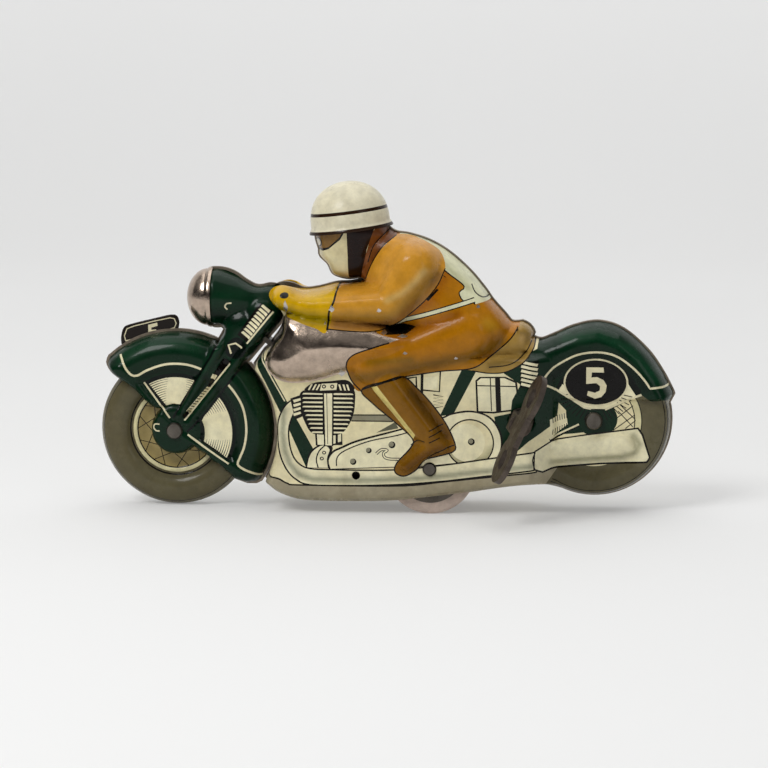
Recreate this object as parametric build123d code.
"""Tin wind-up motorcycle with a crouched rider: two pressed half shells, a steerable fork with a
rolling front wheel, and a clockwork motor between two plates that drives a pair of rubber wheels.

Millimetres. The motorcycle heads towards -X, +Z is up and Y = 0 is the seam between the halves.
The origin lies on the floor, under the middle of the toy's length.
"""
import os
from math import acos, atan2, cos, degrees, hypot, pi, radians, sin, sqrt, tan

from build123d import *

os.makedirs("parts", exist_ok=True)

# ---------------------------------------------------------------- driving dimensions
TIN = 0.4                    # wall of every pressed tin part
WHEEL_R = 16.8               # front wheel
FRONT_HUB = (-46.3, WHEEL_R)      # front axle, (x, z)
FENDER_R = 21.5              # crown of the front mudguard
FENDER_HALF_W = 5.6
WEB_R = 14.0                 # flat printed disc inside the mudguard
WEB_HALF_W = 4.4
REAR_HUB = (45.0, 20.2)      # centre of the rear wheel pressed in the shells
REAR_R = 16.6
CHASSIS_HALF_W = 10.0        # engine side of a half shell
REAR_HALF_W = 5.0
DRIVE_R = 10.0               # rubber-tyred drive wheel
DRIVE_AXLE = (9.9, DRIVE_R)
ARBOR = (29.7, 20.8)         # winding arbor and key
PLATE_IN = 5.4               # inner face of a movement plate, from the seam
PLATE_T = 0.8
RUNNING = 0.04               # radial clearance of a shaft in its hole

# Wheel train: module, teeth and the two pressure-line figures shared by every gear.
MODULE = 0.5
PRESSURE = radians(25)
GREAT_Z, PINION_Z, SECOND_Z = 42, 10, 30
TOOTH_THINNING = 0.09        # backlash taken off each tooth at the pitch circle

# Steering head: the axis leans back like the fork legs.
STEER_AT = (-28.8, 38.75)    # a point on the steering axis, (x, z)
STEER_LEAN = 50.0            # degrees above the floor
STEER_PIN_R = 0.9


# ---------------------------------------------------------------- helpers
def at(y):
    """Plane facing -Y at the given y, whose sketch axes are the toy's X and Z."""
    return Plane(origin=(0, y, 0), x_dir=(1, 0, 0), z_dir=(0, -1, 0))


def slab(face, near, far):
    """The flat shape between two distances left of the seam: from y = -near to y = -far."""
    return extrude(at(-near) * face, amount=far - near)


def disc(centre, radius):
    return Pos(*centre) * Circle(radius)


def rod(centre, radius, near, far):
    """Round bar along Y at (x, z), from y = -near to y = -far."""
    return slab(disc(centre, radius), near, far)


def mirrored(shape):
    return mirror(shape, about=Plane.XZ)


def egg(a, ra, b, rb, inset=0.0):
    """Limb-like solid: the hull of a ball of radius ra at a and one of rb at b, less an inset."""
    ra, rb = ra - inset, rb - inset
    start, end = Vector(*a), Vector(*b)
    along = end - start
    length = along.length
    lean = acos((ra - rb) / length)
    pa = (ra * cos(lean), ra * sin(lean))
    pb = (length + rb * cos(lean), rb * sin(lean))
    mid_a, mid_b = (pi + lean) / 2, lean / 2
    arc_a = ThreePointArc((-ra, 0), (ra * cos(mid_a), ra * sin(mid_a)), pa)
    arc_b = ThreePointArc(pb, (length + rb * cos(mid_b), rb * sin(mid_b)), (length + rb, 0))
    outline = arc_a + Line(pa, pb) + arc_b + Line((length + rb, 0), (-ra, 0))
    profile = make_face(outline)
    side = Vector(0, 1, 0) if abs(along.normalized().Y) < 0.9 else Vector(1, 0, 0)
    plane = Plane(origin=start, x_dir=along, z_dir=along.cross(side))
    return revolve(plane * profile, axis=Axis(start, along), revolution_arc=360)


def joined(shapes):
    """One solid from overlapping ones."""
    first, *rest = shapes
    return first.fuse(*rest) if rest else first


def left_half():
    """Everything left of the seam, for cutting a whole shape in two."""
    return Pos(0, -50, 30) * Box(300, 100, 200)


def polar(centre, radius, angle):
    return (centre[0] + radius * cos(radians(angle)), centre[1] + radius * sin(radians(angle)))


def save(name, *solids):
    """Writes one named sub-part, as one or more separate solids."""
    found = [s for shape in solids for s in shape.solids()]
    export_step(found[0] if len(found) == 1 else Compound(children=found), f"parts/{name}.step")


# ---------------------------------------------------------------- half shells with the rider
# Every limb is the hull of two balls: centre, radius, centre, radius.
TANK = ((-17.2, -1.8, 35.2), 7.6, (2.0, -4.0, 38.0), 4.6)
TORSO = ((4.4, -1.5, 50.4), 9.3, (18.6, -2.0, 39.8), 8.3)
HEAD = ((-7.9, 0, 60.3), 7.95, (-7.9, 0, 55.8), 5.6)
NECK = ((-4.6, 0, 56.5), 4.6, (2.4, -1.0, 53.6), 6.4)
UPPER_ARM = ((5.2, -7.0, 52.6), 5.8, (1.8, -8.6, 45.2), 4.9)
FOREARM = ((1.8, -8.6, 45.2), 4.9, (-16.6, -8.8, 44.6), 3.5)
GLOVE = ((-16.6, -8.8, 44.6), 3.5, (-21.2, -8.6, 46.1), 2.9)
THIGH = ((17.5, -4.6, 38.6), 6.6, (-3.2, -8.2, 31.8), 4.9)
SHIN = ((0.6, -8.4, 29.2), 4.9, (9.8, -8.8, 17.6), 3.8)
HEEL = ((10.0, -8.8, 17.2), 3.4, (12.8, -9.0, 14.6), 2.3)
FOOT = ((10.6, -8.8, 15.4), 2.7, (4.7, -9.0, 10.4), 2.0)
SADDLE = ((22.0, -3.2, 35.4), 4.2, (29.8, -2.2, 36.6), 3.6)
SILENCER = ((35.5, -4.4, 12.2), 2.7, (54.4, -3.6, 14.4), 3.0)
RIDER = (TORSO, HEAD, NECK, UPPER_ARM, FOREARM, GLOVE, THIGH, SHIN, HEEL, FOOT)
LIMBS = (TANK, SADDLE, SILENCER, *RIDER)
NOSE_GAP = 0.9               # between the mudguard's crown and the shells behind it
CHASSIS_ROUND = 2.0          # edge rounding of the engine side, rear mudguard and rear wheel
TAIL_ROUND = 2.4
HEM = 0.35                   # how far the folded seam of the right halves stands proud
HEM_HALF_W = 0.5
REAR_RIVET_R = 0.9
SLOT_CLEAR = 0.4             # round the drive wheels, in the bottom of the shells


def chassis_outline():
    """Side view of the engine and crankcase, closed behind the mudguard by an arc round the hub."""
    top = polar(FRONT_HUB, FENDER_R + NOSE_GAP, 41)
    middle = polar(FRONT_HUB, FENDER_R + NOSE_GAP, 5)
    bottom = polar(FRONT_HUB, FENDER_R + NOSE_GAP, -28.5)
    nose = ThreePointArc(top, middle, bottom)
    belly = ThreePointArc(bottom, (-20.2, 2.7), (-10.0, 1.9))
    back = Polyline([(-10.0, 1.9), (3.0, 2.2), (26.0, 5.4), (36.4, 5.7), (34.0, 12.0),
                     (33.0, 34.0), (18.0, 36.5), (-14.0, 34.0), top])
    return make_face(nose + belly + back)


def tail_outline():
    """Side view of the rear mudguard, down to the middle of the rear wheel."""
    rise = ThreePointArc((32.0, 36.2), (39.0, 39.9), (46.5, 41.3))
    fall = ThreePointArc((46.5, 41.3), (55.9, 36.0), (62.3, 25.8))
    under = Polyline([(62.3, 25.8), (60.6, 24.4), (53.0, 23.8), (44.0, 22.6), (36.0, 21.4), (27.5, 20.0),
                      (27.5, 35.4), (32.0, 36.2)])
    return make_face(rise + fall + under)


def pressed(face, depth, rounding, inset, sides=1):
    """Raised panel of a half shell, with its longest outer edges rounded over."""
    if inset:
        face = offset(face, -inset)
    panel = slab(face, 0, depth - inset)
    rim = panel.faces().filter_by(Axis.Y).sort_by(Axis.Y)[0].edges()
    longest = sorted(rim, key=lambda e: -e.length)[:sides]
    return fillet(longest, rounding - inset)


def half_volume(inset):
    """The left half of the pressed shape, shrunk by inset on every side but the seam."""
    chassis = pressed(chassis_outline(), CHASSIS_HALF_W, CHASSIS_ROUND, inset, sides=4)
    tail = pressed(tail_outline(), REAR_HALF_W + 1.4, TAIL_ROUND, inset, sides=2)
    wheel = pressed(disc(REAR_HUB, REAR_R), REAR_HALF_W, TAIL_ROUND, inset)
    limbs = [egg(*limb, inset=inset) for limb in LIMBS]
    return joined([chassis, tail, wheel, *limbs]) & left_half()


def wheel_slot():
    """Opening in the bottom of the left shell for its drive wheel."""
    front, rear, top = DRIVE_AXLE[0] - 8.4, DRIVE_AXLE[0] + 9.8, 5.2
    face = Pos((front + rear) / 2, 0) * Rectangle(rear - front, 2 * top)
    return slab(face, DRIVE_WHEEL_NEAR - SLOT_CLEAR, DRIVE_WHEEL_FAR + SLOT_CLEAR)


def body_shell():
    """Left half: engine side, tank, rear mudguard and wheel, and half of the rider."""
    shell = half_volume(0) - half_volume(TIN)
    shell -= wheel_slot()
    shell -= rod(DRIVE_AXLE, DRIVE_AXLE_R + 0.3, 8.0, CHASSIS_HALF_W + 1)
    shell -= rod(REAR_HUB, REAR_RIVET_R, 0, REAR_HALF_W + 1)
    shell -= tongue(TONGUE_HALF_W, TONGUE_T)
    return shell


def rear_hem():
    """Folded strip along the crown of the rear mudguard and round the rear wheel."""
    grown = offset(tail_outline(), HEM) + disc(REAR_HUB, REAR_R + HEM)
    strip = grown - tail_outline() - disc(REAR_HUB, REAR_R)
    kept = Pos(50.0, 25.0) * Rectangle(29.0, 60.0)
    band = extrude(at(-HEM_HALF_W) * (strip & kept), amount=2 * HEM_HALF_W, dir=(0, 1, 0))
    return band - slab(chassis_outline(), -20, 20)


def make_body():
    left = body_shell()
    right = mirrored(left)
    left -= rod(ARBOR, 2.85, 5.0, CHASSIS_HALF_W + 1)
    left -= rod((-6.0, 8.4), 0.9, 8.0, CHASSIS_HALF_W + 1)
    save("left_body_shell", left)
    save("right_body_shell", right + rear_hem())
    save("rear_hub_rivet", rivet(REAR_HUB, REAR_RIVET_R, 1.9, REAR_HALF_W))


def dome(radius, height):
    """Solid of the helmet's outline, standing on its brim."""
    crown = Spline([(0, height), (radius * 0.6, height * 0.84), (radius, 0)],
                   tangents=[(1, 0), (0.1, -1)])
    face = make_face(crown + Polyline([(radius, 0), (0, 0), (0, height)]))
    return revolve(Plane.XZ * face, axis=Axis.Z)


def make_helmet():
    """Separate cap pressed over the heads of both halves, its brim dipping forward."""
    radius, height, tilt = 8.6, 10.4, 7.5
    cap = dome(radius, height) - dome(radius - 2 * TIN, height - TIN)
    save("helmet", Pos(-7.9, 0, 60.9) * Rot(0, -tilt, 0) * cap - egg(*HEAD))


# ---------------------------------------------------------------- small common pieces
def rivet(centre, shank, head, reach):
    """Rivet through both halves: shank between the faces and a domed head on each side."""
    ball = Pos(centre[0], -reach, centre[1]) * Sphere(head)
    dome = ball & slab(disc(centre, head), reach, reach + 0.6 * head)
    return rod(centre, shank, -reach, reach) + dome + mirrored(dome)


def gear(centre, teeth, phase, near, far, bore):
    """Spur gear on a Y axis: involute flanks, stub teeth, one tooth centred on phase degrees."""
    pitch_r = MODULE * teeth / 2
    base_r = pitch_r * cos(PRESSURE)
    tip_r, root_r = pitch_r + 0.8 * MODULE, pitch_r - 1.1 * MODULE
    half_tooth = (pi * MODULE / 2 - TOOTH_THINNING) / (2 * pitch_r)
    involute = tan(PRESSURE) - PRESSURE

    def flank(radius, side):
        roll = acos(min(1.0, base_r / radius))
        half = half_tooth + involute - (tan(roll) - roll)
        return (radius * cos(side * half), radius * sin(side * half))

    start = max(root_r, base_r)
    radii = [start + (tip_r - start) * k / 3 for k in range(4)]
    rise = Spline([flank(r, -1) for r in radii])
    fall = Spline([flank(r, 1) for r in reversed(radii)])
    tip = ThreePointArc(flank(tip_r, -1), (tip_r, 0), flank(tip_r, 1))
    foot = 0.6 * root_r
    low, high = flank(start, -1), flank(start, 1)
    inner_low, inner_high = (foot, low[1] * foot / low[0]), (foot, high[1] * foot / high[0])
    sides = Polyline([high, inner_high, inner_low, low])
    tooth = make_face(rise + tip + fall + sides)
    blank = Circle(root_r)
    for k in range(teeth):
        blank += Rot(0, 0, phase + 360 * k / teeth) * tooth
    wheel = Pos(*centre) * blank
    if bore:
        wheel -= disc(centre, bore)
    return slab(wheel, near, far)


def bearing(a, b):
    return degrees(atan2(b[1] - a[1], b[0] - a[0]))


def mesh(wheel, wheel_teeth, wheel_phase, mate, mate_teeth):
    """Phase of the mate that puts its gap on the wheel's tooth along the line of centres."""
    line = bearing(wheel, mate)
    pitch = 360 / wheel_teeth
    behind = ((line - wheel_phase) / pitch) % 1
    return line + 180 + (0.5 + behind) * 360 / mate_teeth


def across(a, reach_a, b, reach_b, side):
    """Point at reach_a from a and reach_b from b, on the chosen side of the line a to b."""
    gap = hypot(b[0] - a[0], b[1] - a[1])
    along = (gap**2 + reach_a**2 - reach_b**2) / (2 * gap)
    off = side * sqrt(reach_a**2 - along**2)
    ux, uz = (b[0] - a[0]) / gap, (b[1] - a[1]) / gap
    return (a[0] + along * ux - off * uz, a[1] + along * uz + off * ux)


def spacing(teeth_a, teeth_b):
    return MODULE * (teeth_a + teeth_b) / 2


# ---------------------------------------------------------------- clockwork between the plates
SECOND = across(ARBOR, spacing(GREAT_Z, PINION_Z), DRIVE_AXLE, spacing(SECOND_Z, PINION_Z), -1)
FLY_Z = 8
FLY = polar(SECOND, spacing(SECOND_Z, FLY_Z), 152)
DRIVE_AXLE_R, SECOND_R, FLY_R, ARBOR_R = 1.2, 0.9, 0.6, 1.5
DRIVE_WHEEL_NEAR, DRIVE_WHEEL_FAR = 6.7, 8.6
DRIVE_WHEEL_W = DRIVE_WHEEL_FAR - DRIVE_WHEEL_NEAR
DRIVE_RIM_R = 7.6
POSTS = ((-10.0, 27.0), (-10.0, 8.0), (18.0, 29.0), (24.5, 8.6))
POST_R, POST_END_R = 1.5, 1.0
PLATE_OUTLINE = ((-12.5, 5.2), (20.0, 5.2), (32.2, 7.2), (32.2, 28.5), (27.5, 31.6), (-12.5, 31.6))
SPRING_POST = (ARBOR[0], ARBOR[1] + 9.4)
RATCHET_Z = 12
CLICK_AT = polar(ARBOR, 6.6, 60)


def plate():
    """Left movement plate, bored for every arbor and post."""
    outline = make_face(Polyline([*PLATE_OUTLINE, PLATE_OUTLINE[0]]))
    outline = fillet(outline.vertices(), 1.5)
    for centre, radius in ((ARBOR, ARBOR_R), (SECOND, SECOND_R), (DRIVE_AXLE, DRIVE_AXLE_R),
                           (FLY, FLY_R)):
        outline -= disc(centre, radius + RUNNING)
    for centre in POSTS:
        outline -= disc(centre, POST_END_R)
    return slab(outline, PLATE_IN, PLATE_IN + PLATE_T)


def mainspring():
    """Coiled strip round the winding arbor, its outer end looped on a post of the right plate."""
    strip, inner_r, turns, pitch = 0.35, 2.4, 4, 1.45
    coil = None
    for k in range(2 * turns):
        radius = inner_r + k * pitch / 2
        shift = pitch / 4 if k % 2 else -pitch / 4
        ring = Circle(radius + strip) - Circle(radius)
        side = 1 if k % 2 else -1
        half = ring & (Pos(0, side * 20) * Rectangle(40, 40))
        piece = Pos(shift, 0) * half
        coil = piece if coil is None else coil + piece
    last = inner_r + (2 * turns - 1) * pitch / 2
    hook = Pos(-last - 0.3, 0.5) * Rectangle(1.6, 1.2)
    return slab(Pos(*ARBOR) * Rot(0, 0, -90) * coil, -3.2, 1.4)


def ratchet(near, far):
    """Saw-toothed wheel fixed on the winding arbor."""
    outer, inner = 4.2, 3.3
    step = 360 / RATCHET_Z
    corners = []
    for k in range(RATCHET_Z):
        corners.append(polar(ARBOR, outer, k * step))
        corners.append(polar(ARBOR, inner, k * step + 2))
    face = make_face(Polyline([*corners, corners[0]]))
    return slab(face - disc(ARBOR, ARBOR_R), near, far)


def click():
    """Spring pawl resting in a gap of the ratchet, pivoted on the great wheel."""
    nose = polar(ARBOR, 3.65, 34)
    arm = make_face(Polyline([nose, polar(ARBOR, 4.7, 31), polar(ARBOR, 7.3, 52),
                              polar(ARBOR, 5.6, 66), nose]))
    return arm + disc(CLICK_AT, 1.3) - disc(CLICK_AT, 0.6 + RUNNING)


def make_movement():
    save("movement_plate_left", plate())
    save("movement_plate_right", mirrored(plate()))
    for number, centre in enumerate(POSTS, start=1):
        reach = CHASSIS_HALF_W - TIN
        post = rod(centre, POST_R, -PLATE_IN, PLATE_IN) + rod(centre, POST_END_R, -reach, reach)
        save(f"movement_post_{number}", post)
    save("mainspring", mainspring())
    post = rod(SPRING_POST, 0.7, -PLATE_IN, 1.4)
    save("spring_post", post)

    great = gear(ARBOR, GREAT_Z, 0, 3.0, 3.8, ARBOR_R + RUNNING)
    great -= rod(CLICK_AT, 0.6, 0, 5)
    save("great_wheel", great)
    save("click", slab(click(), 2.2, 2.9))
    save("click_rivet", rod(CLICK_AT, 0.6, 2.1, 3.9) + rod(CLICK_AT, 0.95, 1.9, 2.1))
    save("ratchet_wheel", ratchet(2.0, 2.8))
    arbor = rod(ARBOR, ARBOR_R, -PLATE_IN - PLATE_T - 0.4, 12.4)
    save("winding_arbor", arbor)

    to_great = bearing(ARBOR, SECOND)
    second_pinion_phase = mesh(ARBOR, GREAT_Z, 0, SECOND, PINION_Z)
    to_drive = bearing(SECOND, DRIVE_AXLE)
    drive_phase = mesh(SECOND, SECOND_Z, to_drive, DRIVE_AXLE, PINION_Z)
    fly_phase = mesh(SECOND, SECOND_Z, to_drive, FLY, FLY_Z)
    save("second_arbor", rod(SECOND, SECOND_R, -PLATE_IN - PLATE_T - 0.3, PLATE_IN + PLATE_T + 0.3))
    save("second_pinion", gear(SECOND, PINION_Z, second_pinion_phase, 2.9, 3.9, SECOND_R))
    save("second_wheel", gear(SECOND, SECOND_Z, to_drive, -4.6, -3.8, SECOND_R))
    save("drive_pinion", gear(DRIVE_AXLE, PINION_Z, drive_phase, -4.7, -3.7, DRIVE_AXLE_R))
    save("governor_pinion", gear(FLY, FLY_Z, fly_phase, -4.8, -3.6, FLY_R))
    save("governor_arbor", rod(FLY, FLY_R, -PLATE_IN - PLATE_T - 0.3, PLATE_IN + PLATE_T + 0.3))
    vane = Pos(FLY[0], -0.5, FLY[1]) * Box(9.0, 5.0, 0.7)
    save("governor_fly", vane + rod(FLY, 1.5, -2.0, 3.0) - rod(FLY, FLY_R, -3, 4))

    save("drive_axle", rod(DRIVE_AXLE, DRIVE_AXLE_R, -CHASSIS_HALF_W - 0.5, CHASSIS_HALF_W + 0.5))
    for side, turn in (("left", lambda s: s), ("right", mirrored)):
        centre = rod(DRIVE_AXLE, DRIVE_RIM_R, DRIVE_WHEEL_NEAR, DRIVE_WHEEL_FAR)
        dish = rod(DRIVE_AXLE, DRIVE_RIM_R - 1.4, DRIVE_WHEEL_NEAR - 1, DRIVE_WHEEL_NEAR + 0.8)
        dish -= rod(DRIVE_AXLE, 2.6, 0, 20)
        hub = centre - dish - rod(DRIVE_AXLE, DRIVE_AXLE_R, 0, 20)
        tyre = rod(DRIVE_AXLE, DRIVE_R, DRIVE_WHEEL_NEAR, DRIVE_WHEEL_FAR)
        tyre = fillet(tyre.edges().filter_by(GeomType.CIRCLE), 0.6)
        save(f"drive_wheel_{side}", turn(hub))
        save(f"drive_tyre_{side}", turn(tyre - rod(DRIVE_AXLE, DRIVE_RIM_R, 0, 20)))


KEY_LEAN = 65.7              # blade's long side above the floor
KEY_TWIST = 13               # blade turned about its long side, outer edge to the rear
KEY_LONG, KEY_DEEP, KEY_THICK = 24.7, 13.0, 1.2


def make_key():
    """Sheet-metal wing on a tube pressed over the winding arbor."""
    barrel = rod(ARBOR, 2.4, 10.6, 17.4) - rod(ARBOR, ARBOR_R, 10.6, 12.4)
    save("key_barrel", barrel)
    half = KEY_LONG / 2
    lobe = disc((half - 5.2, 0), 5.2) + disc((-half + 5.2, 0), 5.2)
    wing = lobe + Rectangle(KEY_LONG - 10.4, 7.0)
    wing -= disc((half - 5.2, 0), 2.2) + disc((-half + 5.2, 0), 2.2)
    tail = Pos(0, KEY_DEEP / 2 - 0.5) * Rectangle(4.2, 6.0)
    blade = extrude(wing + tail, amount=KEY_THICK / 2, both=True)
    # Sketch x runs along the blade, sketch y points towards the motorcycle.
    reach = 16.2 + KEY_DEEP / 2
    along = Vector(cos(radians(KEY_LEAN)), 0, sin(radians(KEY_LEAN)))
    face = Vector(-sin(radians(KEY_LEAN)), 0, cos(radians(KEY_LEAN)))
    face = face * cos(radians(KEY_TWIST)) - Vector(0, 1, 0) * sin(radians(KEY_TWIST))
    frame = Plane(origin=(ARBOR[0], -reach, ARBOR[1]), x_dir=along, z_dir=face)
    blade = frame * blade
    save("key_blade", blade - rod(ARBOR, 2.4, 5, 17.4))


# ---------------------------------------------------------------- fork with the front wheel
LAMP = ((-37.6, 0, 45.8), 6.2, (-29.0, 0, 45.0), 3.6)
NECKING = ((-29.0, 0, 45.0), 3.6, (-25.2, 0, 45.6), 2.8)
LEG_HALF_W = 4.8
TONGUE_HALF_W, TONGUE_T = 2.6, 1.0
LAMP_CUT = -39.0


def steer_plane(height):
    """Plane square to the steering axis, whose x points back and y to the right."""
    lean = radians(STEER_LEAN)
    origin = (STEER_AT[0] + height * cos(lean), 0, STEER_AT[1] + height * sin(lean))
    return Plane(origin=origin, x_dir=(sin(lean), 0, -cos(lean)), z_dir=(cos(lean), 0, sin(lean)))


def tongue(half_width, thick):
    """Flat steel tongue from inside the tank to the steering axis."""
    flat = Pos(4.5, 0) * Rectangle(9.0, 2 * half_width) + Circle(half_width)
    return extrude(steer_plane(-thick / 2) * flat, amount=thick)


def guard_sector(radius):
    """Side view of the fork's skirt: the mudguard's sector with the stays as its lower edges."""
    front = polar(FRONT_HUB, 60, 139.5)
    rear = polar(FRONT_HUB, 60, -34)
    low_front = polar(FRONT_HUB, 5.0, 229)
    low_rear = polar(FRONT_HUB, 5.0, 236)
    wedge = make_face(Polyline([low_front, front, (-60, 120), (60, 120), rear, low_rear, low_front]))
    tip_cut = Pos(FRONT_HUB[0] - 13.4, 60) * Rectangle(60, 120, align=(Align.MAX, Align.CENTER))
    sector = disc(FRONT_HUB, radius) & wedge
    return sector + disc(FRONT_HUB, 5.6) if radius else tip_cut


def leg_outline():
    """Side view of the fork legs, from the hub up to the crown."""
    return make_face(Polyline([(-47.4, 20.4), (-38.4, 33.0), (-35.4, 38.4), (-33.5, 43.5),
                               (-25.6, 44.4), (-23.7, 41.4), (-34.5, 27.8), (-43.2, 17.6),
                               (-47.4, 20.4)]))


def fork_shell():
    """Left half of the fork, mudguard and headlamp."""
    sector = guard_sector(FENDER_R)
    ring = sector - disc(FRONT_HUB, WEB_R)
    rim = pressed_plain(ring, FENDER_HALF_W, 1.9)
    web = slab(sector, 0, WEB_HALF_W)
    leg = slab(leg_outline(), 0, LEG_HALF_W)
    outer = joined([rim, web, leg, egg(*LAMP), egg(*NECKING)])
    t = TIN
    hollow_ring = disc(FRONT_HUB, FENDER_R - t) - disc(FRONT_HUB, WEB_R + t)
    hollows = [pressed_plain(hollow_ring, FENDER_HALF_W - t, 1.5),
               rod(FRONT_HUB, FENDER_R - t, -1, WEB_HALF_W - t),
               slab(offset(leg_outline(), -t), -1, LEG_HALF_W - t),
               egg(*LAMP, inset=t), egg(*NECKING, inset=t)]
    shell = outer - joined(hollows)
    shell &= left_half()
    shell &= Pos(LAMP_CUT + 50, 0, 30) * Box(100, 100, 200) + Pos(-60, 0, 10) * Box(100, 100, 59)
    shell -= tongue(TONGUE_HALF_W + 1.3, TONGUE_T + 0.6)
    return shell - rod(FRONT_HUB, FRONT_AXLE_R, 0, 10)


def pressed_plain(face, depth, rounding):
    """Raised ring whose outer rim alone is rounded over."""
    panel = slab(face, 0, depth)
    top = panel.faces().filter_by(Axis.Y).sort_by(Axis.Y)[0]
    arcs = top.edges().filter_by(GeomType.CIRCLE).sort_by(lambda e: -e.radius)
    return fillet(arcs[0], rounding)


FRONT_AXLE_R = 1.1


def wheel_disc():
    """Left pressed half of the front wheel: tyre bulge, flat spoked web and hub drum."""
    def side(shift, low):
        bulge_top = ThreePointArc((9.9, 1.7 - shift), (13.2, 3.2 - shift), (16.0, 1.9 - shift))
        edge = ThreePointArc((16.0, 1.9 - shift), (WHEEL_R - shift - 0.25, 1.1), (WHEEL_R - shift, 0))
        drum = Polyline([(low, 2.5 - shift), (5.2, 2.5 - shift), (5.9, 1.5 - shift), (9.5, 1.5 - shift),
                         (9.9, 1.7 - shift)])
        return drum + bulge_top + edge

    outer = make_face(side(0, 0) + Polyline([(WHEEL_R, 0), (0, 0), (0, 2.5)]))
    inner = make_face(side(TIN, 0) + Polyline([(WHEEL_R - TIN, 0), (0, 0), (0, 2.5 - TIN)]))
    # Profile x is the radius and profile y the distance left of the seam.
    plane = Plane(origin=(FRONT_HUB[0], 0, FRONT_HUB[1]), x_dir=(1, 0, 0), z_dir=(0, 0, 1))
    axis = Axis((FRONT_HUB[0], 0, FRONT_HUB[1]), (0, 1, 0))
    shell = revolve(plane * (outer - inner), axis=axis)
    return mirrored(shell) - rod(FRONT_HUB, FRONT_AXLE_R + RUNNING, -5, 5)


def make_fork():
    left = fork_shell()
    whole = guard_sector(FENDER_R + HEM) - disc(FRONT_HUB, FENDER_R)
    above = Pos(-49.3, 40) * Rectangle(26, 26)
    strip = whole & above
    hem = extrude(at(HEM_HALF_W) * strip, amount=2 * HEM_HALF_W)
    hem -= slab(leg_outline(), -20, 20)
    save("fork_left_shell", left)
    save("fork_right_shell", mirrored(left) + hem)

    cap = Sphere(LAMP[1] + TIN) - Sphere(LAMP[1])
    cap = Pos(*LAMP[0]) * cap & Pos(LAMP_CUT + 0.6 - 20, 0, LAMP[0][2]) * Box(40, 40, 40)
    save("headlamp_cap", cap)

    corners = [(-58.5, 34.4), (-58.4, 38.4), (-57.2, 39.8), (-48.2, 42.0), (-46.3, 41.4),
               (-45.9, 38.0), (-46.4, 37.0)]
    tab = make_face(Polyline([*corners, corners[0]])) - disc(FRONT_HUB, FENDER_R + HEM)
    save("front_plate", extrude(at(0.25) * tab, amount=0.5))

    length = 7.0
    pin = extrude(steer_plane(-length / 2) * Circle(STEER_PIN_R), amount=length)
    heads = [extrude(steer_plane(h) * Circle(1.5), amount=0.5) for h in (-length / 2 - 0.5, length / 2)]
    save("steering_pin", joined([pin, *heads]))
    ears = [extrude(steer_plane(h) * (Pos(-0.7, 0) * Rectangle(4.6, 2 * (LEG_HALF_W - TIN))), amount=0.8)
            for h in (-2.2, 1.4)]
    web = extrude(steer_plane(-2.2) * (Pos(-3.3, 0) * Rectangle(0.8, 2 * (LEG_HALF_W - TIN))), amount=4.4)
    bridge = joined([*ears, web])
    save("fork_bridge", bridge - extrude(steer_plane(-5) * Circle(STEER_PIN_R), amount=10))
    bracket = tongue(TONGUE_HALF_W, TONGUE_T)
    save("steering_bracket", bracket - extrude(steer_plane(-5) * Circle(STEER_PIN_R + RUNNING), amount=10))

    save("front_axle", rivet(FRONT_HUB, FRONT_AXLE_R, 1.9, WEB_HALF_W))
    left_disc = wheel_disc()
    save("front_wheel_left_disc", left_disc)
    save("front_wheel_right_disc", mirrored(left_disc))
    bush = rod(FRONT_HUB, 2.2, -2.5 + TIN, 2.5 - TIN)
    save("front_wheel_bush", bush - rod(FRONT_HUB, FRONT_AXLE_R + RUNNING, -5, 5))


make_body()
make_helmet()
make_movement()
make_key()
make_fork()
